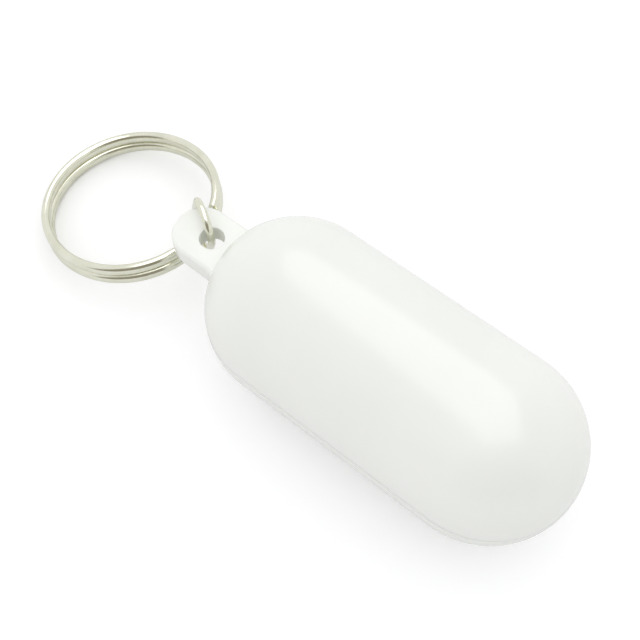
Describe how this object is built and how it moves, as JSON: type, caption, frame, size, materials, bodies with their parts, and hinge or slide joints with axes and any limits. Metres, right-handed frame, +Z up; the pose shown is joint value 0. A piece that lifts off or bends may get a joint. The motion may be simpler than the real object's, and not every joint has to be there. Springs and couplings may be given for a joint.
{
  "type": "floating keychain",
  "caption": "Hollow round-ended float that lies on its side, with an eyelet tab at one end, an oval link through the eyelet and a two-turn split ring.",
  "frame": {"origin": "middle of the bounding box, on the ground that the float lies on", "axes": "+X from the split ring to the float's free end, +Z up, +Y to the float's left"},
  "size_m": [0.0994, 0.0308, 0.0272],
  "materials": {
    "float_plastic": "glossy white moulded plastic",
    "nickel_wire": "warm nickel-plated steel wire"
  },
  "bodies": {
    "float": {"float_upper_shell": "float_plastic", "float_lower_shell": "float_plastic"},
    "link": {"oval_link": "nickel_wire"},
    "ring": {"split_ring": "nickel_wire"}
  },
  "joints": [
    {"name": "link_swing", "type": "hinge", "parent": "float", "child": "link", "pos_m": [-0.01687, 0.00013, 0.01528], "axis": [0.4895, 0.872, 0], "range_deg": [-48, 90]},
    {"name": "ring_swing", "type": "hinge", "parent": "link", "child": "ring", "pos_m": [-0.0207, 0.00228, 0.00569], "axis": [-0.1277, 0.9917, -0.0166], "range_deg": [-100, 75]}
  ]
}
